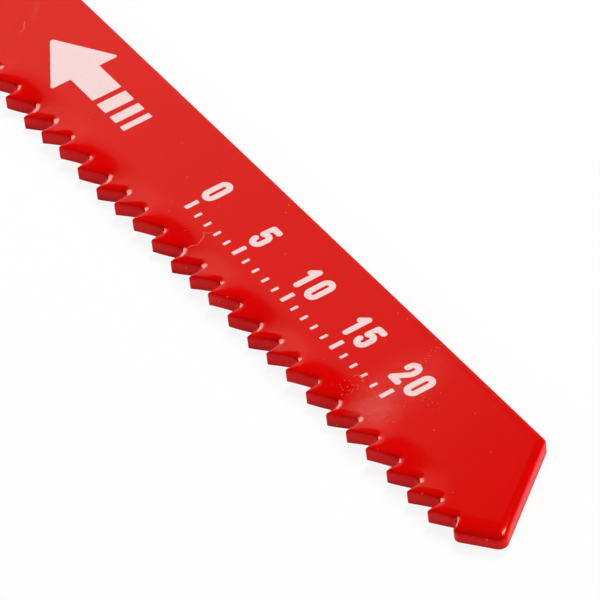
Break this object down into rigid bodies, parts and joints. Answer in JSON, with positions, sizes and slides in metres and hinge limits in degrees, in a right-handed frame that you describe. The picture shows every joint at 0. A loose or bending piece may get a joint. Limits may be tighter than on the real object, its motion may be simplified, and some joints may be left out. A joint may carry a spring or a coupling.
{
  "type": "jigsaw blade",
  "caption": "Flat enamelled jigsaw blade with a T shank, a wavy-set tooth row that points to the shank and a slanted end. It cuts on the upward stroke.",
  "frame": {"origin": "on the printed face, in the middle of the shank's lugs", "axes": "+X along the blade from the shank to the point, +Y from the teeth to the back edge, +Z out of the printed face"},
  "size_m": [0.0921, 0.0102, 0.0013],
  "materials": {
    "enamel": "glossy red baked enamel over steel",
    "ink": "matt off-white pad-printing ink on the enamel"
  },
  "bodies": {
    "root": {"blade": "enamel"}
  },
  "joints": []
}
